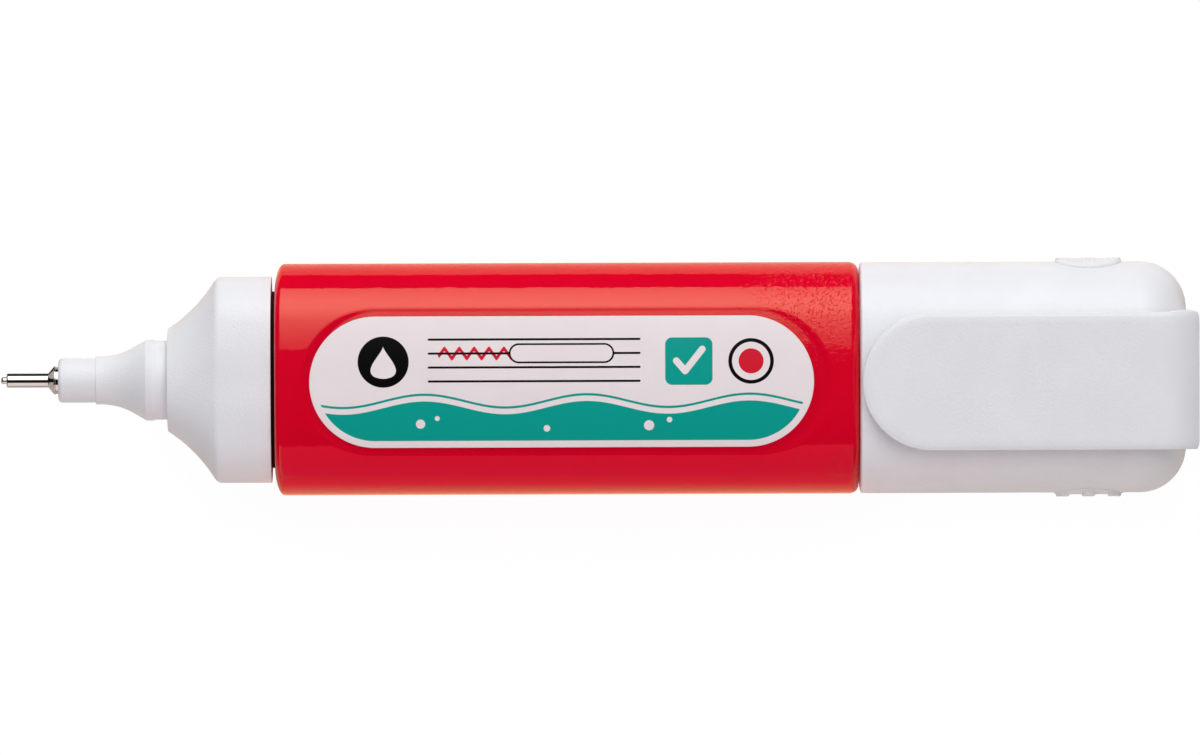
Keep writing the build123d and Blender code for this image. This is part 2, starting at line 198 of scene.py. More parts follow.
# A dim even room, darker in mirrors
def makeWorld(settings):
    world = bpy.data.worlds.new("studioRoom")
    world.use_nodes = True
    tree = world.node_tree
    tree.nodes.clear()
    path = addNode(tree, "ShaderNodeLightPath")
    strength = addNode(tree, "ShaderNodeMix", {0: path.outputs["Is Glossy Ray"], 2: settings["world"],
                                               3: settings["worldMirrored"]})
    room = addNode(tree, "ShaderNodeBackground", {"Color": (1, 1, 1, 1), "Strength": strength.outputs[0]})
    addNode(tree, "ShaderNodeOutputWorld", {"Surface": room.outputs[0]})
    scene.world = world


# White sweep: shows white to the eye, with a faint shadow, and gives back soft light
def makeFloorMaterial(settings):
    made, tree = newMaterial("paperSweep")
    path = addNode(tree, "ShaderNodeLightPath")
    shade = settings["floorShade"]
    glow = addNode(tree, "ShaderNodeEmission", {"Color": (1, 1, 1, 1), "Strength": settings["floorShine"]})
    shadow = addNode(tree, "ShaderNodeBsdfDiffuse", {"Color": (shade, shade, shade, 1)})
    white = addNode(tree, "ShaderNodeAddShader", {0: glow.outputs[0], 1: shadow.outputs[0]})
    apart = addNode(tree, "ShaderNodeSeparateXYZ", {0: addNode(tree, "ShaderNodeTexCoord").outputs["Object"]})
    start, end = settings["floorWarmFrom"]
    warmth = addNode(tree, "ShaderNodeMapRange", {"Value": apart.outputs["X"], "From Min": start,
                                                  "From Max": end})
    # painted reflection: in mirrors the floor's colour goes from grey by the tip to a warm tint of bounced
    # red along the bottle
    grey, warm = (colour(tone) for tone in settings["floorMirrored"])
    mirrored = addNode(tree, "ShaderNodeMix", {0: warmth.outputs[0], 6: grey, 7: warm}, data_type="RGBA")
    bounce = colour(settings["floorBounce"])
    tone = addNode(tree, "ShaderNodeMix", {0: path.outputs["Is Glossy Ray"], 6: bounce,
                                           7: mirrored.outputs[2]}, data_type="RGBA")
    paper = addNode(tree, "ShaderNodeBsdfDiffuse", {"Color": tone.outputs[2]})
    through = addNode(tree, "ShaderNodeEmission", {"Color": (1, 1, 1, 1), "Strength": settings["floorGlow"]})
    lit = addNode(tree, "ShaderNodeAddShader", {0: paper.outputs[0], 1: through.outputs[0]})
    finishMaterial(tree, addNode(tree, "ShaderNodeMixShader", {
        0: path.outputs["Is Camera Ray"], 1: lit.outputs[0], 2: white.outputs[0]}))
    return made


# A card that shines evenly
def makeCardMaterial(name, tone, strength):
    made, tree = newMaterial(name)
    finishMaterial(tree, addNode(tree, "ShaderNodeEmission", {"Color": colour(tone), "Strength": strength}))
    return made


# A lying card whose colour goes from far to near along Y
def makeFadedMaterial(name, settings):
    made, tree = newMaterial(name)
    apart = addNode(tree, "ShaderNodeSeparateXYZ", {0: addNode(tree, "ShaderNodeTexCoord").outputs["Object"]})
    far, near = settings["fade"]
    share = addNode(tree, "ShaderNodeMapRange", {"Value": apart.outputs["Y"], "From Min": far,
                                                 "From Max": near}, interpolation_type="SMOOTHSTEP")
    tone = addNode(tree, "ShaderNodeMix", {0: share.outputs[0], 6: colour(settings["far"]),
                                           7: colour(settings["near"])}, data_type="RGBA")
    finishMaterial(tree, addNode(tree, "ShaderNodeEmission", {"Color": tone.outputs[2],
                                                              "Strength": settings["radiance"]}))
    return made


def lying(place, z=0):  # corners of a flat rectangle from its x from, x to, y from and y to
    left, right, front, back = place
    return [(left, front, z), (right, front, z), (right, back, z), (left, back, z)]


def makePlane(name, corners, material):
    mesh = bpy.data.meshes.new(name)
    mesh.from_pydata(corners, [], [(0, 1, 2, 3)])
    mesh.materials.append(material)
    made = bpy.data.objects.new(name, mesh)
    scene.collection.objects.link(made)
    return made


def makeCard(name, corners, material):  # seen only in reflections
    made = makePlane(name, corners, material)
    made.visible_camera = False
    made.visible_shadow = False
    made.visible_diffuse = False


def makeStudio(settings):
    makeLight("softboxUpper", settings["key"])
    makeLight("fillLower", settings["fill"])
    makeLight("fillOver", settings["over"])
    makeWorld(settings)
    makePlane("floor", lying(settings["floorPlace"], settings["floorLow"]), makeFloorMaterial(settings))
    near, away, high, half = (settings["black"][key] for key in ("near", "away", "high", "half"))
    makeCard("cardUpper", [(-half, near, 0), (half, near, 0), (half, away, high), (-half, away, high)],
             makeCardMaterial("blackCard", "#000000", 0.0))
    tip, lower = settings["tip"], settings["red"]
    makeCard("cardTip", lying(tip["place"]), makeCardMaterial("greyCard", "#ffffff", tip["radiance"]))
    makeCard("cardRed", lying(lower["place"]), makeFadedMaterial("redCard", lower))
    pale = settings["pale"]
    turn, far, tall = math.radians(pale["turn"]), pale["distance"], pale["height"] / 2
    low, top = ((far * math.sin(turn) + way * tall * math.cos(turn),
                 far * math.cos(turn) - way * tall * math.sin(turn) + axisZ) for way in (-1, 1))
    for number, (first, last, radiance, tone) in enumerate(pale["spans"]):
        makeCard(f"cardLower{number}", [(first, *low), (last, *low), (last, *top), (first, *top)],
                 makeCardMaterial(f"paleCard{number}", tone, radiance))


makeStudio(studio)
print("studio set")


# Closed skins: rings of points joined by quads, and a fan to a pole at each end
def ringFaces(rings, firstPole, lastPole):
    count, around = rings.shape[:2]
    index = np.arange(count * around).reshape(count, around)
    ahead = np.roll(index, -1, axis=1)
    quads = np.stack([index[:-1], ahead[:-1], ahead[1:], index[1:]], -1).reshape(-1, 4)
    points = rings.reshape(-1, 3)
    fans = np.empty((0, 3), int)
    if firstPole is not None:
        pole = np.full(around, len(points))
        points = np.vstack([points, firstPole])
        fans = np.vstack([fans, np.stack([pole, ahead[0], index[0]], -1)])
    if lastPole is not None:
        pole = np.full(around, len(points))
        points = np.vstack([points, lastPole])
        fans = np.vstack([fans, np.stack([pole, index[-1], ahead[-1]], -1)])
    return points, quads, fans


# Six times the volume inside, from the triangles' corners: below zero means that the faces point inwards
def signedVolume(points, quads, fans):
    middle = points.mean(0)
    corners = np.vstack([quads[:, [0, 1, 2]], quads[:, [0, 2, 3]], fans])
    a, b, c = (points[corners[:, k]] - middle for k in range(3))
    return np.einsum("ij,ij->", a, np.cross(b, c))


# One object from several closed skins, each given as rings, first pole and last pole. Where the first skin
# has no poles, its end rings lie on a line or on each other, and points that meet are joined
def makeSkin(name, skins, material, joinReach=2e-7):
    allPoints, allFaces, start = [], [], 0
    for rings, firstPole, lastPole in skins:
        points, quads, fans = ringFaces(rings, firstPole, lastPole)
        if signedVolume(points, quads, fans) < 0:
            quads, fans = quads[:, ::-1], fans[:, ::-1]
        allPoints.append(points)
        allFaces += (quads + start).tolist() + (fans + start).tolist()
        start += len(points)
    mesh = bpy.data.meshes.new(name)
    mesh.from_pydata(np.vstack(allPoints).tolist(), [], allFaces)
    if skins[0][1] is None:
        work = bmesh.new()
        work.from_mesh(mesh)
        bmesh.ops.remove_doubles(work, verts=work.verts, dist=joinReach)
        work.to_mesh(mesh)
        work.free()
    mesh.validate()
    mesh.shade_smooth()
    mesh.materials.append(material)
    made = bpy.data.objects.new(name, mesh)
    scene.collection.objects.link(made)
    return made


def dress(piece, body, node):  # the piece rides on a body and stands for a CAD node
    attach(piece, body)
    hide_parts(node)


def softStep(value):  # S-shaped rise from 0 to 1 with level ends, 3v^2 - 2v^3
    value = np.clip(value, 0, 1)
    return value * value * (3 - 2 * value)


# A line through corners (x, r, rounding): each corner becomes an arc that touches both its sides,
# from rounding / tan(half the corner's angle) before it to as far behind it, with a guard point on each side
def roundedLine(corners, steps=6, guard=0.05):
    spots = np.array(corners, float)
    line = [spots[:1, :2]]
    for before, corner, after in zip(spots[:-2], spots[1:-1], spots[2:]):
        here, rounding = corner[:2], corner[2]
        back, ahead = before[:2] - here, after[:2] - here
        back, ahead = back / np.linalg.norm(back), ahead / np.linalg.norm(ahead)
        half = math.acos(np.clip(back @ ahead, -1, 1)) / 2
        reach = rounding / math.tan(half)
        middle = back + ahead
        centre = here + middle / np.linalg.norm(middle) * rounding / math.sin(half)
        first, last = here + back * reach - centre, here + ahead * reach - centre
        turn = math.atan2(first[0] * last[1] - first[1] * last[0], first @ last)
        angles = math.atan2(first[1], first[0]) + turn * np.linspace(0, 1, steps + 1)
        arc = centre + rounding * np.stack([np.cos(angles), np.sin(angles)], -1)
        line += [[here + back * (reach + guard)], arc, [here + ahead * (reach + guard)]]
    line.append(spots[-1:, :2])
    return np.vstack(line)


# A profile (x, r) carried round the pen's axis
def turnedRings(profile, around=128):
    angle = np.linspace(0, 2 * math.pi, around, endpoint=False)
    x, r = profile[:, :1], profile[:, 1:]
    return toRow(x, r * np.sin(angle), r * np.cos(angle))


# Oval section shared by bottle, shoulder and cap: flat, crown arc and side arc on each quarter
oval = {"halfFlat": 1.5, "halfHigh": 8.2, "crownRadius": 20.0, "sideRadius": 7.7639, "sideCentre": 4.7361}
crownTurn = math.asin((oval["sideCentre"] - oval["halfFlat"]) / (oval["crownRadius"] - oval["sideRadius"]))
crownLength = oval["crownRadius"] * crownTurn
sideLength = oval["sideRadius"] * (math.pi / 2 - crownTurn)
quarterLength = oval["halfFlat"] + crownLength + sideLength


# Point and outward way on the oval at a length along it, from the top's middle towards +Y
def ovalAt(along):
    along = np.mod(along, 4 * quarterLength)
    quarter = np.floor(along / quarterLength).astype(int) % 4
    rest = along - quarter * quarterLength
    rest = np.where(quarter % 2 == 1, quarterLength - rest, rest)
    onCrown = np.clip((rest - oval["halfFlat"]) / oval["crownRadius"], 0, crownTurn)
    onSide = np.clip((rest - oval["halfFlat"] - crownLength) / oval["sideRadius"], 0, None)
    turn = onCrown + onSide
    onArc = rest > oval["halfFlat"] + crownLength
    y = np.where(onArc, oval["sideCentre"] + oval["sideRadius"] * np.sin(turn),
                 np.minimum(rest, oval["halfFlat"]) + oval["crownRadius"] * np.sin(onCrown))
    z = np.where(onArc, oval["sideRadius"] * np.cos(turn),
                 oval["halfHigh"] - oval["crownRadius"] * (1 - np.cos(onCrown)))
    sideY = np.where(quarter < 2, 1, -1)
    sideZ = np.where((quarter == 0) | (quarter == 3), 1, -1)
    return y * sideY, z * sideZ, np.sin(turn) * sideY, np.cos(turn) * sideZ


# A profile (x, inset) carried round the oval: each ring is the oval moved inwards by the inset
def ovalRings(profile, along):
    y, z, wayY, wayZ = ovalAt(along)
    x, inset = profile[:, :1] + 0 * along, profile[:, 1:]
    return x, y - inset * wayY, z - inset * wayZ


evenOval = np.linspace(0, 4 * quarterLength, 240, endpoint=False)   # for the shoulder's and the cap's rings


# A tint that goes from one colour to the other in soft clouds of a size in mm, and the place that it reads
def cloudedTint(tree, size, detail, first, second):
    place = addNode(tree, "ShaderNodeTexCoord").outputs["Object"]
    cloud = addNode(tree, "ShaderNodeTexNoise", {"Vector": place, "Scale": 1 / (size * mm), "Detail": detail})
    tint = addNode(tree, "ShaderNodeMix", {0: cloud.outputs[0], 6: colour(first), 7: colour(second)},
                   data_type="RGBA")
    return place, tint.outputs[2]


# Glossy red polyolefin, blow-moulded: deep wet-looking colour, sharp reflections, faint orange peel
# that grows where the mould chilled it, near the upper rear corner
redGloss = {
    "base": "#e3052c",
    "deep": "#da0427",
    "cloudSize": 9.0,           # mm, patches of the deeper colour
    "roughness": 0.05,
    "ior": 1.545,
    "sheen": "#ffd8b2",         # reflections come back warm from the deep red
    "depth": 4.0,               # mm that red light wanders in the translucent wall and the fluid
    "wander": (1.0, 0.08, 0.08),    # share of that depth for red, green and blue light
    "glow": 0.4,
    "seat": "#2a0406",          # painted shade: the seat in the gap behind the shoulder is coloured near black red as if no light reached it, and made dull
    "seatRoughness": 0.9,
    "seatEdge": (-0.03, -0.01),     # pen x where the seat's painted shade and dull finish give way to the skin's
    "peelSize": 1.3,            # mm, one dimple
    "peelDepth": 0.02,
    "chillSize": 0.3,
    "chillDepth": 0.028,
    "chillPits": (0.54, 0.68),  # levels of the noise where a pit's side starts and ends
    "chillAt": (58.0, 8.0, 5.0),    # pen x, y and z
    "chillReach": 11.0,
}


def makeRedGloss(settings):
    made, tree = newMaterial("redGlossPolyolefin")
    place, tint = cloudedTint(tree, settings["cloudSize"], 2.0, settings["base"], settings["deep"])
    along = addNode(tree, "ShaderNodeSeparateXYZ", {0: place}).outputs["X"]
    start, end = settings["seatEdge"]
    onBody = addNode(tree, "ShaderNodeMapRange", {"Value": along, "From Min": frontX + start * mm,
                                                  "From Max": frontX + end * mm})
    # painted shade: dark red on the seat in the gap, the body's colour in front of it
    tint = addNode(tree, "ShaderNodeMix", {0: onBody.outputs[0], 6: colour(settings["seat"]), 7: tint},
                   data_type="RGBA")
    polish = addNode(tree, "ShaderNodeMapRange", {
        "Value": onBody.outputs[0], "To Min": settings["seatRoughness"], "To Max": settings["roughness"]})
    peel = addNode(tree, "ShaderNodeTexNoise", {"Vector": place, "Scale": 1 / (settings["peelSize"] * mm),
                                                "Detail": 1.0})
    chill = addNode(tree, "ShaderNodeTexNoise", {"Vector": place, "Scale": 1 / (settings["chillSize"] * mm),
                                                 "Detail": 1.0})
    start, end = settings["chillPits"]
    pits = addNode(tree, "ShaderNodeMapRange", {"Value": chill.outputs[0], "From Min": start,
                                                "From Max": end})
    away = addNode(tree, "ShaderNodeVectorMath", {0: place, 1: toRow(*settings["chillAt"]).tolist()},
                   operation="DISTANCE")
    near = addNode(tree, "ShaderNodeMapRange", {
        "Value": away.outputs["Value"], "From Min": settings["chillReach"] * mm, "From Max": 0.0},
        interpolation_type="SMOOTHSTEP")
    chilled = addNode(tree, "ShaderNodeMath", {0: pits.outputs[0], 1: near.outputs[0]}, operation="MULTIPLY")
    fine = addNode(tree, "ShaderNodeBump", {"Height": peel.outputs[0], "Strength": 1.0,
                                            "Distance": settings["peelDepth"] * mm})
    rough = addNode(tree, "ShaderNodeBump", {"Height": chilled.outputs[0], "Strength": 1.0,
                                             "Distance": settings["chillDepth"] * mm,
                                             "Normal": fine.outputs[0]})
    finishMaterial(tree, addNode(tree, "ShaderNodeBsdfPrincipled", {
        "Base Color": tint.outputs[2], "Roughness": polish.outputs[0], "IOR": settings["ior"],
        "Subsurface Weight": settings["glow"], "Subsurface Radius": settings["wander"],
        "Subsurface Scale": settings["depth"] * mm, "Specular Tint": colour(settings["sheen"]),
        "Normal": rough.outputs[0]}))
    return made


# White polypropylene, injection-moulded in an eroded mould: satin, cool white, fine grain
whiteSatin = {
    "base": "#eceff5",
    "warm": "#e5e5ea",
    "roughness": 0.42,
    "ior": 1.49,
    "grainSize": 0.22,          # mm, drawn coarser than the real 0.05 so that it shows
    "grainDepth": 0.04,
    "cloudSize": 6.0,
}


def makeWhiteSatin(settings):
    made, tree = newMaterial("whiteSatinPolypropylene")
    place, tint = cloudedTint(tree, settings["cloudSize"], 3.0, settings["base"], settings["warm"])
    grain = addNode(tree, "ShaderNodeTexNoise", {"Vector": place, "Scale": 1 / (settings["grainSize"] * mm),
                                                 "Detail": 2.0})
    bump = addNode(tree, "ShaderNodeBump", {"Height": grain.outputs[0], "Strength": 1.0,
                                            "Distance": settings["grainDepth"] * mm})
    finishMaterial(tree, addNode(tree, "ShaderNodeBsdfPrincipled", {
        "Base Color": tint, "Roughness": settings["roughness"], "IOR": settings["ior"],
        "Normal": bump.outputs[0]}))
    return made


# Stainless steel, turned and polished: mirror streaks along the tube, faint rings from the lathe
polishedSteel = {"base": "#cfcac6", "roughness": 0.05, "ringSize": 0.06, "ringDepth": 0.0015}


def makePolishedSteel(settings):
    made, tree = newMaterial("polishedStainless")
    place = addNode(tree, "ShaderNodeTexCoord").outputs["Object"]
    apart = addNode(tree, "ShaderNodeSeparateXYZ", {0: place})
    rings = addNode(tree, "ShaderNodeTexNoise", {
        "W": apart.outputs["X"], "Scale": 1 / (settings["ringSize"] * mm), "Detail": 2.0},
        noise_dimensions="1D")
    bump = addNode(tree, "ShaderNodeBump", {"Height": rings.outputs[0], "Strength": 1.0,
                                            "Distance": settings["ringDepth"] * mm})
    finishMaterial(tree, addNode(tree, "ShaderNodeBsdfPrincipled", {
        "Base Color": colour(settings["base"]), "Metallic": 1.0, "Roughness": settings["roughness"],
        "Normal": bump.outputs[0]}))
    return made


# Natural polyethylene, moulded without pigment: milky, waxy, slightly mottled
naturalMilk = {"base": "#e4e4de", "thin": "#d6d8d2", "roughness": 0.35, "ior": 1.51, "mottleSize": 1.5,
               "glow": 0.15, "depth": 0.8}


def makeNaturalMilk(settings):
    made, tree = newMaterial("naturalPolyethylene")
    tint = cloudedTint(tree, settings["mottleSize"], 2.0, settings["base"], settings["thin"])[1]
    finishMaterial(tree, addNode(tree, "ShaderNodeBsdfPrincipled", {
        "Base Color": tint, "Roughness": settings["roughness"], "IOR": settings["ior"],
        "Subsurface Weight": settings["glow"], "Subsurface Scale": settings["depth"] * mm}))
    return made


red = makeRedGloss(redGloss)
white = makeWhiteSatin(whiteSatin)
steel = makePolishedSteel(polishedSteel)
milk = makeNaturalMilk(naturalMilk)
print("materials made")

# Bottle: oval skin with rounded ends, the seat in front, the post behind, and the label's panel
bottle = {
    "length": 63.0,
    "frontTop": (0.65, 0.65),   # front end's rounding at the top and below: along the pen, and inwards
    "frontSide": (0.92, 2.6),   # the same at both narrow sides
    "frontRows": 18,
    "frontReach": 1.0,          # x where that end gives way to the plain skin
    "rearRounding": 0.9,
    "rearReach": 2.0,           # length before the rear where the plain skin ends
    "seatInset": 2.95,
    "seatHeight": 0.42,
    "seatEdges": (0.05, 0.03),  # roundings of its rim and its foot
    "seatMargin": 0.1,          # strip of the front face along that foot
    "postInset": 1.18,
    "postFoot": 0.03,           # rounding where the post leaves the rear face
    "postEnd": 69.5,
    "postRounding": 0.6,
    "deepInset": 5.5,           # innermost ring before the pole
    "fineStep": 0.15,           # grid over the panel's edges
    "fineReach": 12.5,          # from both ends, along the pen
    "fineHalf": 9.2,            # from the top's middle, round the oval
    "coarseStep": 0.9,
    "sideStep": 0.4,
    "seam": 0.035,              # parting line of the mould along both sides
    "seamWidth": 0.12,
    "seamHalf": 0.6,            # band of fine grid over it
    "seamRows": 21,
    "seamFrom": 10.0,           # least distance from the middle plane
}
panel = {
    "centre": 31.5,
    "halfStraight": 20.09,
    "radius": 7.58,
    "floorRadius": 45.0,
    "floorHigh": 7.912,
    "edgeFall": 0.165,          # how much lower than that arc the floor ends at its long edges
    "ramp": (0.5, 1.1),         # width along the straight edges, and more at the tips of the round ends
}


# Crowned floor: an arc across the pen that falls off towards its edges with the fourth power
def panelFloor(y):
    arc = np.sqrt(panel["floorRadius"] ** 2 - y ** 2) - panel["floorRadius"]
    return panel["floorHigh"] + arc - panel["edgeFall"] * (y / panel["radius"]) ** 4


# The front sinks to the panel's floor in a long round-ended outline, and rises on an S-shaped ramp round it
def sunkInPanel(x, y, z):
    past = np.maximum(np.abs(x - panel["centre"]) - panel["halfStraight"], 0)
    away = np.hypot(past, y)
    ramp, tipRamp = panel["ramp"]
    ramp = ramp + (tipRamp - ramp) * past / np.maximum(away, 1e-9)
    rise = softStep((away - panel["radius"]) / ramp)
    drop = np.maximum(z - panelFloor(y), 0) * (1 - rise)
    return z - np.where(z > 0, drop, 0)


# Front end: quarter ellipses whose size goes from the top's to the side's with the fourth power of the
# outward way's share along Y
def frontRings(along):
    y, z, wayY, wayZ = ovalAt(along)
    turn = np.linspace(0, math.pi / 2, bottle["frontRows"])[:, None]
    bulge, inwards = (top + (side - top) * wayY ** 4
                      for top, side in zip(bottle["frontTop"], bottle["frontSide"]))
    inset = inwards * (1 - np.sin(turn))
    return bulge * (1 - np.cos(turn)), y - inset * wayY, z - inset * wayZ


# Profiles of seat, plain skin and rear carried round the oval, sunk to the panel, with a bell-shaped bead for
# the parting line where the skin crosses the middle height
def makeBottle():
    end, deep = bottle["length"], bottle["deepInset"]
    seatInset, seatHigh = bottle["seatInset"], bottle["seatHeight"]
    rimEdge, footEdge = bottle["seatEdges"]
    seat = roundedLine([(-seatHigh, deep, 0), (-seatHigh, seatInset, rimEdge), (0, seatInset, footEdge),
                        (0, seatInset - bottle["seatMargin"], 0)])
    skinEnd = end - bottle["rearReach"]
    rear = roundedLine([(skinEnd, 0, 0), (end, 0, bottle["rearRounding"]),
                        (end, bottle["postInset"], bottle["postFoot"]),
                        (bottle["postEnd"], bottle["postInset"], bottle["postRounding"]),
                        (bottle["postEnd"], deep, 0)], steps=10, guard=0.02)
    fine, reach = bottle["fineStep"], bottle["fineReach"]
    long = np.concatenate([np.arange(bottle["frontReach"], reach, fine),
                           np.arange(reach, end - reach, bottle["coarseStep"]),
                           np.arange(end - reach, skinEnd, fine)])
    profile = np.vstack([np.stack([long, 0 * long], -1), rear])
    half, step, band, rows = (bottle[key] for key in ("fineHalf", "sideStep", "seamHalf", "seamRows"))
    side, otherSide = quarterLength, 3 * quarterLength
    along = np.concatenate([
        np.arange(-half, half, fine), np.arange(half, side - band, step),
        np.linspace(side - band, side + band, rows),
        np.arange(side + band + step / 2, otherSide - band, step),
        np.linspace(otherSide - band, otherSide + band, rows),
        np.arange(otherSide + band + step / 2, 4 * quarterLength - half, step)])
    x, y, z = ovalRings(profile, along)
    skinOnly = profile[:, 1:] == 0
    z = np.where(skinOnly, sunkInPanel(x, y, z), z)
    onSide = (np.abs(y) > bottle["seamFrom"]) * skinOnly
    y = y + np.sign(y) * bottle["seam"] * np.exp(-(z / bottle["seamWidth"]) ** 2) * onSide
    rings = np.concatenate([toRow(*ovalRings(seat, along)), toRow(*frontRings(along)), toRow(x, y, z)])
    made = makeSkin("bottleSkin", [(rings, toRow(seat[0, 0], 0, 0), toRow(profile[-1, 0], 0, 0))], red)
    dress(made, "barrel", "bottle")


makeBottle()
print("bottle made")

# Shoulder: the oval, drawn in to a round face on a hollow curve
shoulder = {
    "inset": 1.35,
    "back": -0.42,
    "backRounding": 0.04,
    "backDepth": 4.0,           # innermost ring of the back, inwards from the edge
    "flareAt": -6.33,
    "face": -11.65,
    "faceRadius": 5.55,
    "faceRounding": 0.08,
    "faceFrom": (0.3, 0.2),     # the flare's way into that rounding: back along the pen, and outwards
    "faceInner": 4.0,           # innermost ring of the face, behind the nozzle
    "hollow": 16.5,
    "edge": 0.35,               # softness of the edge between oval and flare
    "starts": (0.3, 0.5),       # how far before the back the straight run and the rounded edge start
    "samples": (60, 70),        # of the straight run and the flare, before they are spaced evenly
    "rows": 180,
    "window": 20,               # rows to each side that the softening takes in
    "trim": (4, 2),             # rows that give way to the rounded edges at the back and the face
}


# The flare's half width: an arc between two points, hollow outwards, given by its radius
def hollowArc(first, last, radius, share):
    first, last = np.array(first), np.array(last)
    chord = last - first
    length = np.linalg.norm(chord)
    side = np.array([-chord[1], chord[0]]) / length
    centre = (first + last) / 2 - side * math.sqrt(radius ** 2 - length ** 2 / 4)
    start, end = first - centre, last - centre
    turn = math.atan2(start[0] * end[1] - start[1] * end[0], start @ end)
    angle = math.atan2(start[1], start[0]) + turn * share
    return centre + radius * np.stack([np.cos(angle), np.sin(angle)], -1)


# Half width along the pen: straight, then the flare, in even steps and softened with a bell-shaped window.
# Each ring mixes the oval with the face's circle, in the share that the half width has between the two
def makeShoulder():
    back, front, narrow = shoulder["back"], shoulder["face"], shoulder["faceRadius"]
    wide = oval["sideCentre"] + oval["sideRadius"] - shoulder["inset"]
    straightStart, edgeStart = (back - start for start in shoulder["starts"])
    count, flareCount = shoulder["samples"]
    flare = hollowArc((shoulder["flareAt"], wide), (front, narrow), shoulder["hollow"],
                      np.linspace(0, 1, flareCount))
    straight = np.stack([np.linspace(straightStart, shoulder["flareAt"], count), np.full(count, wide)], -1)
    line = np.vstack([straight, flare[1:]])
    steps = np.concatenate([[0], np.cumsum(np.linalg.norm(np.diff(line, axis=0), axis=1))])
    even = np.linspace(0, steps[-1], shoulder["rows"])
    line = np.stack([np.interp(even, steps, line[:, k]) for k in range(2)], -1)
    reach = shoulder["window"]
    window = np.exp(-0.5 * ((np.arange(-reach, reach + 1) * (even[1] - even[0])) / shoulder["edge"]) ** 2)
    window /= window.sum()
    padded = np.pad(line, ((reach, reach), (0, 0)), mode="reflect", reflect_type="odd")
    line = np.stack([np.convolve(padded[:, k], window, mode="valid") for k in range(2)], -1)
    share = (line[:, 1:] - narrow) / (wide - narrow)
    y, z, wayY, wayZ = ovalAt(evenOval)
    ovalY, ovalZ = y - shoulder["inset"] * wayY, z - shoulder["inset"] * wayZ
    angle = evenOval / (4 * quarterLength) * 2 * math.pi
    roundY, roundZ = narrow * np.sin(angle), narrow * np.cos(angle)
    rings = toRow(line[:, :1], share * ovalY + (1 - share) * roundY, share * ovalZ + (1 - share) * roundZ)
    lip = roundedLine([(edgeStart, 0, 0), (back, 0, shoulder["backRounding"]),
                       (back, shoulder["backDepth"], 0)], steps=4)
    x, lipY, lipZ = ovalRings(np.stack([lip[:, 0], lip[:, 1] + shoulder["inset"]], -1), evenOval)
    backRings = toRow(x, lipY, lipZ)[::-1]
    behind, outwards = shoulder["faceFrom"]
    face = roundedLine([(front + behind, narrow + outwards, 0), (front, narrow, shoulder["faceRounding"]),
                        (front, shoulder["faceInner"], 0)], steps=4, guard=0.02)[2:]     # from its arc on
    faceRings = toRow(face[:, :1], face[:, 1:] * np.sin(angle), face[:, 1:] * np.cos(angle))
    atBack, atFace = shoulder["trim"]
    made = makeSkin("shoulderSkin", [(np.concatenate([backRings, rings[atBack:-atFace], faceRings]),
                                      toRow(back, 0, 0), toRow(front, 0, 0))], white)
    dress(made, "barrel", "shoulder")


makeShoulder()
print("shoulder made")

# Nozzle, tip holder, metal tip and pin: profiles with corners (x, r, rounding) turned round the axis
nozzle = {
    "front": -19.45,
    "frontRadius": 2.6,
    "frontRounding": 0.05,
    "lead": 0.5,                # straight length before the throat's curve
    "slope": 30.0,              # degrees at the end of that curve
    "rim": -14.0,
    "rimRadius": 4.35,
    "rimRounding": 0.45,
    "lip": (-13.35, 4.39, 0.3),
    "lipBack": (-12.95, 4.27, 0.2),
    "back": -11.65,
    "backRounding": 0.05,
    "inner": 2.0,               # innermost ring at both ends
}
holder = [(-23.5, 0.9, 0), (-23.5, 2.4, 0.45), (-19.44, 2.4, 0.01), (-19.44, 1.0, 0)]
metalTip = [(-28.9, 0.42, 0), (-29.12, 0.42, 0.05), (-29.12, 0.76, 0.16), (-24.6, 0.76, 0.12),
            (-23.97, 1.54, 0.08), (-23.82, 1.54, 0.06), (-23.82, 1.46, 0.03), (-23.45, 1.46, 0.03),
            (-23.45, 0.9, 0)]
valvePin = [(-29.72, 0.06, 0), (-29.72, 0.36, 0.22), (-28.7, 0.36, 0.02), (-28.7, 0.1, 0)]


# The throat: an arc that leaves the straight lead and turns up to the slope, which runs straight to the rim
def makeNozzle():
    front, back, slope = nozzle["frontRadius"], nozzle["back"], math.radians(nozzle["slope"])
    start, rim, high = nozzle["front"] + nozzle["lead"], nozzle["rim"], nozzle["rimRadius"]
    throat = (rim - start - (high - front) / math.tan(slope)) / math.tan(slope / 2)
    turn = np.linspace(0, slope, 24)
    curve = np.stack([start + throat * np.sin(turn), front + throat * (1 - np.cos(turn))], -1)
    lead = roundedLine([(nozzle["front"], nozzle["inner"], 0),
                        (nozzle["front"], front, nozzle["frontRounding"]), (start, front, 0)],
                       steps=4, guard=0.03)
    rear = roundedLine([(*curve[-1], 0), (rim, high, nozzle["rimRounding"]), nozzle["lip"], nozzle["lipBack"],
                        (back, nozzle["lipBack"][1], nozzle["backRounding"]), (back, nozzle["inner"], 0)],
                       steps=8, guard=0.02)
    rings = turnedRings(np.vstack([lead, curve[1:], rear[1:]]))
    made = makeSkin("nozzleSkin", [(rings, toRow(nozzle["front"], 0, 0), toRow(back, 0, 0))], white)
    dress(made, "barrel", "nozzle")


# A piece turned from its corners, with a pole on the axis at each end
def makeTurned(name, corners, material, body, node, guard=0.03):
    profile = roundedLine(corners, steps=8, guard=guard)
    poles = toRow(profile[0, 0], 0, 0), toRow(profile[-1, 0], 0, 0)
    made = makeSkin(name, [(turnedRings(profile, 96), *poles)], material)
    dress(made, body, node)


makeNozzle()
makeTurned("holderSkin", holder, white, "barrel", "tip_holder")
makeTurned("metalTip", metalTip, steel, "barrel", "metal_tip", guard=0.01)
makeTurned("pinEnd", valvePin, steel, "valve", "valve_pin", guard=0.01)
print("nozzle and tip made")

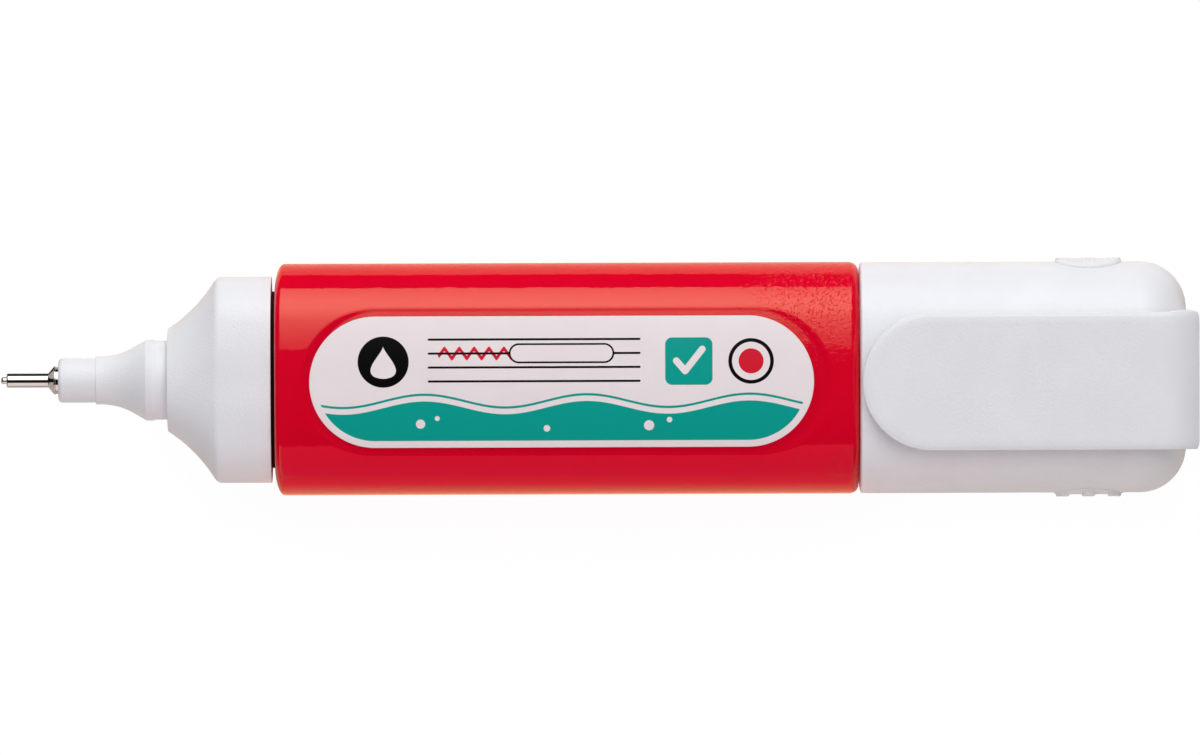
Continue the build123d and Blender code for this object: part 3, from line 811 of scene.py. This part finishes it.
# Cap: oval shell with a round end, open at its mouth, and the ring inside its end that holds the inner cap
cap = {
    "mouth": 63.1,
    "mouthLead": (0.3, 0.85),   # rounding of the mouth's outer edge: along the pen, and inwards
    "mouthEdge": 0.1,           # rounding of its inner edge
    "skinFrom": 1.0,            # length behind the mouth where the plain skin starts
    "end": 98.45,
    "endRounding": 5.0,
    "wall": 1.1,
    "insideEnd": 96.95,
    "insideRounding": 3.9,
    "deepInset": 5.6,           # innermost ring before the pole
    "ring": [(95.0, 3.4, 0), (93.65, 3.4, 0.1), (93.65, 4.2, 0.15), (97.2, 4.2, 0.05), (97.2, 3.4, 0.05),
             (95.0, 3.4, 0)],   # corners of its section, from its inner side round to the same point
}


# Outside, mouth and inside as one profile (x, inset) carried round the oval
def makeCap():
    mouth, end, wall = cap["mouth"], cap["end"], cap["wall"]
    lead, inwards = cap["mouthLead"]
    outside = roundedLine([(end, cap["deepInset"], 0), (end, 0, cap["endRounding"]),
                           (mouth + cap["skinFrom"], 0, 0)], steps=14)
    turn = np.linspace(0, math.pi / 2, 14)[:, None]
    rim = np.hstack([mouth + lead * (1 - np.sin(turn)), inwards * (1 - np.cos(turn))])
    inside = roundedLine([(mouth, inwards, 0), (mouth, wall, cap["mouthEdge"]),
                          (cap["insideEnd"], wall, cap["insideRounding"]),
                          (cap["insideEnd"], cap["deepInset"], 0)], steps=14)
    shell = toRow(*ovalRings(np.vstack([outside, rim, inside[1:]]), evenOval))
    ring = turnedRings(roundedLine(cap["ring"]), 96)
    made = makeSkin("capSkin", [(ring, None, None),
                                (shell, toRow(end, 0, 0), toRow(cap["insideEnd"], 0, 0))], white)
    dress(made, "cap", "cap_shell")


makeCap()
print("cap made")

# Grips: a lens-shaped pad with three bars on each narrow side of the cap
grips = {
    "centre": 87.9,
    "pads": {1: {"halfLong": 3.6, "halfHigh": 3.0, "high": 0.36, "square": 2.4},   # fuller on the upper side
             -1: {"halfLong": 3.75, "halfHigh": 3.0, "high": 0.2, "square": 2.0}},
    "bar": {"halfLong": 0.725, "high": 0.43, "square": 5.0},
    "barGap": 2.825,
    "halfLong": 3.55,           # lens-shaped outline that the bars' ends follow
    "halfHigh": 2.8,
    "leastHigh": 0.02,          # keeps that outline open at its tips
    # a mound's steps from the middle out: share of the outline, share of the height
    "drawn": ((0.03, 1), (0.4, 1), (0.75, 1), (0.86, 0.98), (0.93, 0.88), (0.98, 0.6), (1.0, 0.2)),
    "sunk": 0.6,                # share of its height that a mound goes into the cap
    "around": 72,
}


def barHalfHigh(x):  # the lens: half an ellipse over the three bars
    share = (x - grips["centre"]) / grips["halfLong"]
    return grips["halfHigh"] * np.sqrt(np.clip(1 - share ** 2, grips["leastHigh"], 1))


# A low mound on the cap's side: round-cornered outline (u, v) from a superellipse, drawn in by steps towards
# its middle, with a height for each step. A pad has its own half height, and a bar takes the lens's
def mound(centre, shape, side):
    steps = np.array([*grips["drawn"], (1.0, -grips["sunk"])])
    angle = np.linspace(0, 2 * math.pi, grips["around"], endpoint=False)
    power = 2 / shape["square"]
    u = np.sign(np.cos(angle)) * np.abs(np.cos(angle)) ** power * steps[:, :1]
    v = np.sign(np.sin(angle)) * np.abs(np.sin(angle)) ** power * steps[:, :1]
    x = centre + shape["halfLong"] * u
    turn = np.arcsin(v * shape.get("halfHigh", barHalfHigh(x)) / oval["sideRadius"])
    out = oval["sideRadius"] + shape["high"] * steps[:, 1:]
    rings = toRow(x, side * (oval["sideCentre"] + out * np.cos(turn)), out * np.sin(turn))
    top, low = (toRow(centre, side * (oval["sideCentre"] + out[row, 0]), 0) for row in (0, -1))
    return rings, top, low


def makeGrips():
    middle = grips["centre"]
    mounds = []
    for side in (1, -1):
        mounds.append(mound(middle, grips["pads"][side], side))
        mounds += [mound(middle + k * grips["barGap"], grips["bar"], side) for k in (-1, 0, 1)]
    made = makeSkin("capGrips", mounds, white)
    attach(made, "cap")


makeGrips()
print("grips made")

# Clip: a flat blade with a round free end, bent down behind the cap's end and drawn into it
clip = {
    "free": 63.35,
    "top": 10.4,
    "thick": 1.5,
    "halfWidth": 7.4,
    "back": 99.55,
    "slopeBend": 6.3,           # wide curve at the rear that ends in a slope
    "slope": 35.0,
    "edgeBend": 0.35,           # tight curve from that slope into the arm
    "foot": 1.9,                # where the arm ends, inside the cap's end
    "sink": 1.3,                # how far the arm's foot is drawn into the cap's end
    "sinkFrom": 5.2,            # z where that starts
    "sinkRest": 0.2,            # length of the foot that is drawn in all the way
    "bevel": ((0.85, 0.0, 4.6), (0.42, 0.06, 0.3), (0.0, 0.22, 0.08)),   # from the edge, down, rounding
    "underEdge": 0.25,
    "rootThick": 2.2,           # how much thicker the arm gets at its root
    "rootFrom": 8.2,            # z where that starts, and the height it takes
    "rootOver": 3.5,
    "bendFrom": 6.0,            # z of two heights on the arm at the back, read but not used
    "bendTo": 8.6,
    "bladeStep": 1.0,
    "rows": (16, 9, 26),        # on the slope's curve, the edge and the arm
    "roundPoints": 97,          # on the free end
    "flatRows": 8,              # across the flat, to this distance from the edge
    "flatTo": 1.3,
    "nib": {"at": 67.85, "high": 9.15, "radius": 0.8, "half": 2.5, "rounding": 0.4, "pole": 0.05},
}


# Lengths of the clip's outer line, seen from the side: to the end of the blade, of the slope's curve and of
# the edge
def clipStretches():
    slope, wide, tight = math.radians(clip["slope"]), clip["slopeBend"], clip["edgeBend"]
    blade = clip["back"] - clip["free"] - wide * math.sin(slope) - tight * (1 - math.sin(slope))
    curve = blade + wide * slope
    return blade, curve, curve + tight * (math.pi / 2 - slope)


# Point of that line by its length from the free end, and the way to the inner side, which turns more slowly
def clipLine(length):
    slope, wide, tight = math.radians(clip["slope"]), clip["slopeBend"], clip["edgeBend"]
    blade, curve, edge = clipStretches()
    onSlope = np.clip((length - blade) / wide, 0, slope)
    turn = onSlope + np.clip((length - curve) / tight, 0, math.pi / 2 - slope)
    x = clip["free"] + np.minimum(length, blade) + wide * np.sin(onSlope)
    x = x + tight * (np.sin(turn) - np.sin(onSlope))
    z = clip["top"] - wide * (1 - np.cos(onSlope)) - tight * (np.cos(onSlope) - np.cos(turn))
    z = z - np.maximum(length - edge, 0)
    sinkHigh = clip["sinkFrom"] - clip["foot"] - clip["sinkRest"]
    x = x - clip["sink"] * softStep((clip["sinkFrom"] - z) / sinkHigh)
    inward = np.clip((length - blade) / (edge + clip["thick"] - blade), 0, 1) * math.pi / 2
    return x, z, -np.sin(inward), -np.cos(inward)


# Nib under the blade that holds a pocket's edge: a round bar across the pen with soft ends
def clipNib(nib):
    half, radius, soft, pole = nib["half"], nib["radius"], nib["rounding"], nib["pole"]
    profile = roundedLine([(-half, pole, 0), (-half, radius, soft), (half, radius, soft), (half, pole, 0)])
    angle = np.linspace(0, 2 * math.pi, 48, endpoint=False)
    y, r = profile[:, :1], profile[:, 1:]
    rings = toRow(nib["at"] + r * np.sin(angle), y, nib["high"] + r * np.cos(angle))
    return rings, toRow(nib["at"], -half, nib["high"]), toRow(nib["at"], half, nib["high"])


# The blade's outline is a path of anchors on the middle line with a way out from each: across along both
# sides, fanned round the free end. The edge's section is carried along it and laid on the clip's line, and
# gets thicker at the root
def makeClip():
    half, thick = clip["halfWidth"], clip["thick"]
    blade, curve, edge = clipStretches()
    total = edge + clipLine(edge)[1] - clip["foot"]
    slopeRows, edgeRows, armRows = clip["rows"]
    side = np.concatenate([np.arange(half, blade, clip["bladeStep"]), np.linspace(blade, curve, slopeRows),
                           np.linspace(curve, edge, edgeRows)[1:], np.linspace(edge, total, armRows)[1:]])
    angle = np.linspace(-math.pi / 2, -1.5 * math.pi, clip["roundPoints"])[1:-1]
    anchor = np.concatenate([side[::-1], np.full(len(angle), half), side])
    ahead = np.concatenate([0 * side, np.cos(angle), 0 * side])
    across = np.concatenate([-1 + 0 * side, np.sin(angle), 1 + 0 * side])
    section = roundedLine([(half, 0, 0), *clip["bevel"], (0, thick, clip["underEdge"]), (half, thick, 0)],
                          steps=8, guard=0.02)
    inner = np.linspace(half, clip["flatTo"], clip["flatRows"])
    section = np.vstack([np.stack([inner, 0 * inner], -1), section[1:-1],
                         np.stack([inner, thick + 0 * inner], -1)[::-1]])
    reach, depth = half - section[:, :1], section[:, 1:]
    x, z, inX, inZ = clipLine(anchor + reach * ahead)
    depth = depth * (1 + clip["rootThick"] / thick * softStep((clip["rootFrom"] - z) / clip["rootOver"]))
    rings = toRow(x + inX * depth, reach * across, z + inZ * depth)
    made = makeSkin("clipBlade", [(rings, None, None), clipNib(clip["nib"])], white)
    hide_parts("pocket_clip")
    toRow(clip["back"], 0, clip["bendFrom"]).tolist()
    toRow(clip["back"], 0, clip["bendTo"]).tolist()
    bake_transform(made)


makeClip()
print("clip made")

# Label: printed film in the panel, with plain motifs of its own
label = {
    "centre": 30.95,
    "halfStraight": 20.09,
    "radius": 7.08,
    "thick": 0.11,
    "edge": 0.06,
    "underEdge": 0.01,
    "under": -0.05,             # its lower side, just below the panel's floor
    "grid": 0.11,
    "gridTo": 0.2,              # distance from the edge where the even grid ends
    "film": "#f2e9ec",
    "filmDull": "#eadfe3",
    "teal": "#009e92",
    "black": "#060506",
    "red": "#d6182f",
    "inkEdge": 0.018,           # mm, softness of a printed edge
    "grainSize": 0.30,
    "grainDepth": 0.004,
    "mottleSize": 5.0,
    "roughness": 0.38,
    "gloss": 0.1,               # semi-matt varnish
}
motifs = {                      # mm from the label's middle
    "border": 0.75,
    "wave": {"level": -2.75, "high": 0.7, "length": 17.5, "phase": 0.6},
    "crest": {"above": 0.72, "half": 0.13},
    "bubbles": (((-15.2, -4.5), 0.5), ((-13.4, -3.9), 0.27), ((-1.6, -5.0), 0.36), ((9.4, -4.7), 0.55),
                ((11.6, -4.1), 0.3)),
    "disc": ((-19.2, 2.2), 2.75),
    "drop": {"at": (-19.2, 2.15), "halfHigh": 1.75, "halfWide": 1.05},
    "lines": {"from": -14.3, "to": 8.4, "at": (4.6, 3.1, 1.6, 0.1), "half": 0.12},
    "slip": {"from": -4.6, "to": 4.6, "at": 3.1, "half": 0.98, "outline": 0.1},
    "scrawl": {"from": -12.6, "to": -3.0, "at": 3.1, "half": 0.75, "stroke": 0.8, "swing": 1.1, "pen": 0.28,
               "lean": 0.6},    # lean turns height over a slanted stroke into distance from it
    "square": ((13.7, 2.2), 2.55, 0.75),    # middle, half width, rounding
    "tick": {"spots": ((12.35, 2.25), (13.3, 1.15), (15.15, 3.5)), "half": 0.36},
    "target": {"at": (20.4, 2.2), "dot": 1.35, "ring": 2.25, "ringHalf": 0.2},
}


# Distance from a round-ended bar between two points, below zero inside
def barAway(x, y, first, last, radius):
    way = np.subtract(last, first)
    share = np.clip(((x - first[0]) * way[0] + (y - first[1]) * way[1]) / max(way @ way, 1e-9), 0, 1)
    return np.hypot(x - first[0] - share * way[0], y - first[1] - share * way[1]) - radius


def discAway(x, y, middle, radius):  # distance from a disc
    return np.hypot(x - middle[0], y - middle[1]) - radius


def boxAway(x, y, middle, half, rounding):  # distance from a box with round corners
    overX, overY = np.abs(x - middle[0]) - half + rounding, np.abs(y - middle[1]) - half + rounding
    outside = np.hypot(np.maximum(overX, 0), np.maximum(overY, 0))
    return outside + np.minimum(np.maximum(overX, overY), 0) - rounding


def together(*shapes):  # shapes as one: the least of their distances
    return np.minimum.reduce(shapes)


# Inks as distances from their edges, in mm on the label: a wave with bubbles along the lower side, a drop on
# a disc, ruled lines with a slip painted over a scrawl, a tick on a square and a dot in a ring
def inkShapes(x, y):
    field = barAway(x, y, (-label["halfStraight"], 0), (label["halfStraight"], 0),
                    label["radius"] - motifs["border"])
    swell = motifs["wave"]
    wave = swell["level"] + swell["high"] * np.sin(x * 2 * math.pi / swell["length"] + swell["phase"])
    bubbles = together(*(discAway(x, y, *bubble) for bubble in motifs["bubbles"]))
    sea = np.maximum(np.maximum(y - wave, field), -bubbles)
    crest = np.maximum(np.abs(y - wave - motifs["crest"]["above"]) - motifs["crest"]["half"], field)
    disc = discAway(x, y, *motifs["disc"])
    bead = motifs["drop"]
    overX, overY = x - bead["at"][0], y - bead["at"][1]
    share = np.clip(overY / bead["halfHigh"], -1, 1)
    drop = np.maximum(np.abs(overX) - bead["halfWide"] * (1 - share) * np.sqrt(1 - share ** 2),
                      np.abs(overY) - bead["halfHigh"])
    ruled = motifs["lines"]
    lines = together(*(barAway(x, y, (ruled["from"], high), (ruled["to"], high), ruled["half"])
                       for high in ruled["at"]))
    slip, scrawl = (barAway(x, y, (strip["from"], strip["at"]), (strip["to"], strip["at"]), strip["half"])
                    for strip in (motifs["slip"], motifs["scrawl"]))
    outline = np.abs(slip) - motifs["slip"]["outline"]
    hand = motifs["scrawl"]
    zigzag = (np.abs(np.mod((x - hand["from"]) / hand["stroke"], 2) - 1) - 0.5) * hand["swing"]
    scrawl = np.maximum(scrawl, (np.abs(y - hand["at"] - zigzag) - hand["pen"]) * hand["lean"])
    square = boxAway(x, y, *motifs["square"])
    spots = motifs["tick"]["spots"]
    tick = together(*(barAway(x, y, first, last, motifs["tick"]["half"])
                      for first, last in zip(spots[:-1], spots[1:])))
    target = motifs["target"]
    dot = discAway(x, y, target["at"], target["dot"])
    ring = np.abs(discAway(x, y, target["at"], target["ring"])) - target["ringHalf"]
    return {"tealInk": together(sea, crest, np.maximum(square, -tick)),
            "blackInk": together(np.maximum(disc, -drop), np.maximum(lines, -slip), outline, ring),
            "redInk": together(np.maximum(scrawl, -slip), dot)}


# Printed polypropylene film, semi-matt: faintly pink white, slightly uneven, ink with crisp edges
def makeFilm(settings):
    made, tree = newMaterial("printedFilm")
    place, tint = cloudedTint(tree, settings["mottleSize"], 3.0, settings["film"], settings["filmDull"])
    for ink, tone in (("tealInk", "teal"), ("redInk", "red"), ("blackInk", "black")):
        away = addNode(tree, "ShaderNodeAttribute", attribute_name=ink)
        cover = addNode(tree, "ShaderNodeMapRange", {
            "Value": away.outputs["Fac"], "From Min": settings["inkEdge"], "From Max": -settings["inkEdge"]})
        tint = addNode(tree, "ShaderNodeMix", {0: cover.outputs[0], 6: tint, 7: colour(settings[tone])},
                       data_type="RGBA").outputs[2]
    grain = addNode(tree, "ShaderNodeTexNoise", {"Vector": place, "Scale": 1 / (settings["grainSize"] * mm)})
    bump = addNode(tree, "ShaderNodeBump", {"Height": grain.outputs[0], "Strength": 1.0,
                                            "Distance": settings["grainDepth"] * mm})
    finishMaterial(tree, addNode(tree, "ShaderNodeBsdfPrincipled", {
        "Base Color": tint, "Roughness": settings["roughness"], "Specular IOR Level": settings["gloss"],
        "Normal": bump.outputs[0]}))
    return made


# The outline is a path of anchors on the middle line with a way out from each: across along both sides,
# fanned round both ends. The film's section is carried along it and laid on the panel's floor
def makeLabel():
    half, radius, thick, grid = label["halfStraight"], label["radius"], label["thick"], label["grid"]
    turn = np.linspace(-math.pi / 2, math.pi / 2, int(math.pi * radius / grid), endpoint=False)
    straight = np.linspace(half, -half, int(2 * half / grid), endpoint=False)
    anchor = np.concatenate([half + 0 * turn, straight, -half + 0 * turn, -straight])
    ahead = np.concatenate([np.cos(turn), 0 * straight, -np.cos(turn), 0 * straight])
    across = np.concatenate([np.sin(turn), 1 + 0 * straight, -np.sin(turn), -1 + 0 * straight])
    section = roundedLine([(radius, thick, 0), (0, thick, label["edge"]),
                           (0, label["under"], label["underEdge"]), (radius, label["under"], 0)],
                          steps=5, guard=0.02)
    inner = np.arange(radius, label["gridTo"], -grid)
    section = np.vstack([np.stack([inner, thick + 0 * inner], -1), section[1:]])
    reach, high = radius - section[:, :1], section[:, 1:]
    x, y = anchor + reach * ahead, reach * across
    rings = toRow(label["centre"] + x, y, panelFloor(y) + high)
    made = makeSkin("labelFilm", [(rings, None, None)], makeFilm(label))
    spots = np.empty(3 * len(made.data.vertices), np.float32)
    made.data.vertices.foreach_get("co", spots)
    spots = spots.reshape(-1, 3).astype(float)
    shapes = inkShapes((spots[:, 0] - frontX) / mm - label["centre"], spots[:, 1] / mm)
    for ink, away in shapes.items():
        made.data.attributes.new(ink, "FLOAT", "POINT").data.foreach_set("value", away.astype(np.float32))
    dress(made, "barrel", "front_label")


makeLabel()
print("label made")

# Inner pieces keep the shape that the CAD gave them
for node, material in {"inner_cap": milk, "neck_gasket": milk, "spring_retainer": milk, "mixing_ball": steel,
                       "valve_spring": steel}.items():
    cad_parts[node].data.materials.clear()
    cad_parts[node].data.materials.append(material)

scene.view_settings.view_transform = "Standard"
print("scene made")
